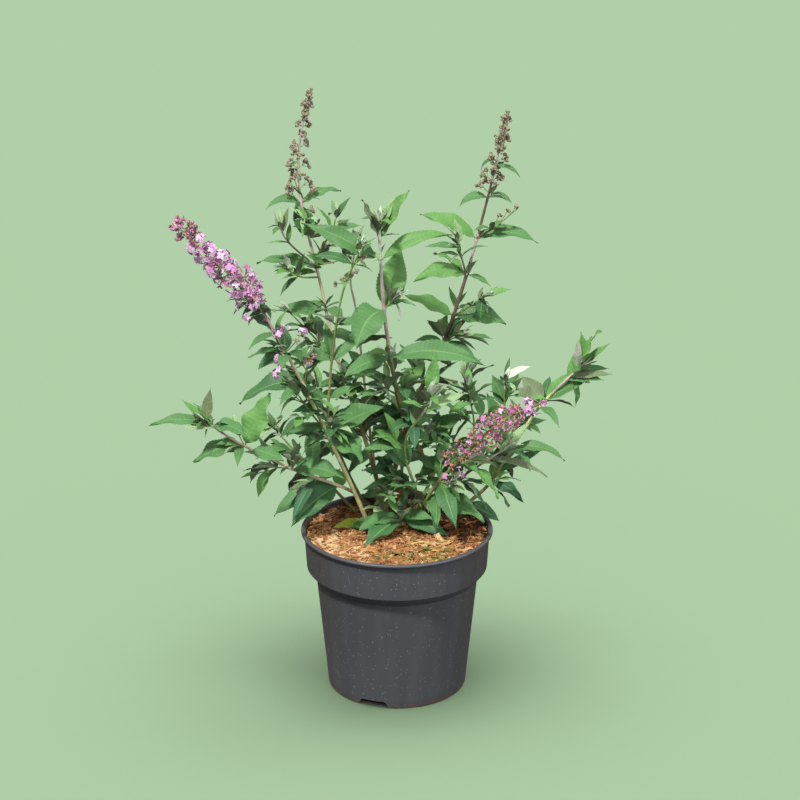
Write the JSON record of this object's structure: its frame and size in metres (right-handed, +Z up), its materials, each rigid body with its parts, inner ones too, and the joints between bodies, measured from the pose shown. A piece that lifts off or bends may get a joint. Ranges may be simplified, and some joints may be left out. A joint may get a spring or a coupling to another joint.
{
  "type": "potted butterfly bush",
  "caption": "Young butterfly bush in a nursery pot: slender canes with narrow opposite leaves, pink flower spikes and upright bud spikes.",
  "frame": {"origin": "centre of the pot's flat underside", "axes": "+Z up; +Y away from the side that the picture shows; +X to the right of that side"},
  "size_m": [0.502, 0.2868, 0.6762],
  "materials": {
    "pot_plastic": "satin anthracite nursery plastic",
    "mulched_soil": "rough wood fibre mulch on potting soil",
    "old_bark": "rough old bark",
    "cane_bark": "thin bark, green to brown",
    "leaves": "matte green, felted under",
    "flowers": "matte pink lilac petals",
    "buds": "matte brown green buds"
  },
  "bodies": {
    "root": {"pot": "pot_plastic", "soil": "mulched_soil", "old_stool": "old_bark", "back_left_cane": "cane_bark", "back_middle_cane": "cane_bark", "back_right_cane": "cane_bark", "far_left_cane": "cane_bark", "far_right_cane": "cane_bark", "left_flowering_cane": "cane_bark", "little_front_cane": "cane_bark", "low_left_cane": "cane_bark", "low_right_cane": "cane_bark", "right_flowering_cane": "cane_bark", "short_front_cane": "cane_bark", "slender_back_cane": "cane_bark", "tall_centre_cane": "cane_bark", "tall_left_cane": "cane_bark", "tall_right_cane": "cane_bark", "thin_right_cane": "cane_bark", "young_front_cane": "cane_bark", "back_left_foliage": "leaves", "back_middle_foliage": "leaves", "back_right_foliage": "leaves", "far_left_foliage": "leaves", "far_right_foliage": "leaves", "left_bud_spike": "buds", "left_flower_spike": "flowers", "left_flowering_foliage": "leaves", "little_front_foliage": "leaves", "low_left_foliage": "leaves", "low_left_tip_foliage": "leaves", "low_right_foliage": "leaves", "low_right_tip_foliage": "leaves", "right_bud_spike": "buds", "right_flower_spike": "flowers", "right_flowering_foliage": "leaves", "short_front_foliage": "leaves", "slender_back_foliage": "leaves", "tall_centre_lower_foliage": "leaves", "tall_centre_top_foliage": "leaves", "tall_left_lower_foliage": "leaves", "tall_left_upper_foliage": "leaves", "tall_right_lower_foliage": "leaves", "tall_right_upper_foliage": "leaves", "thin_right_foliage": "leaves", "young_front_foliage": "leaves"}
  },
  "joints": []
}
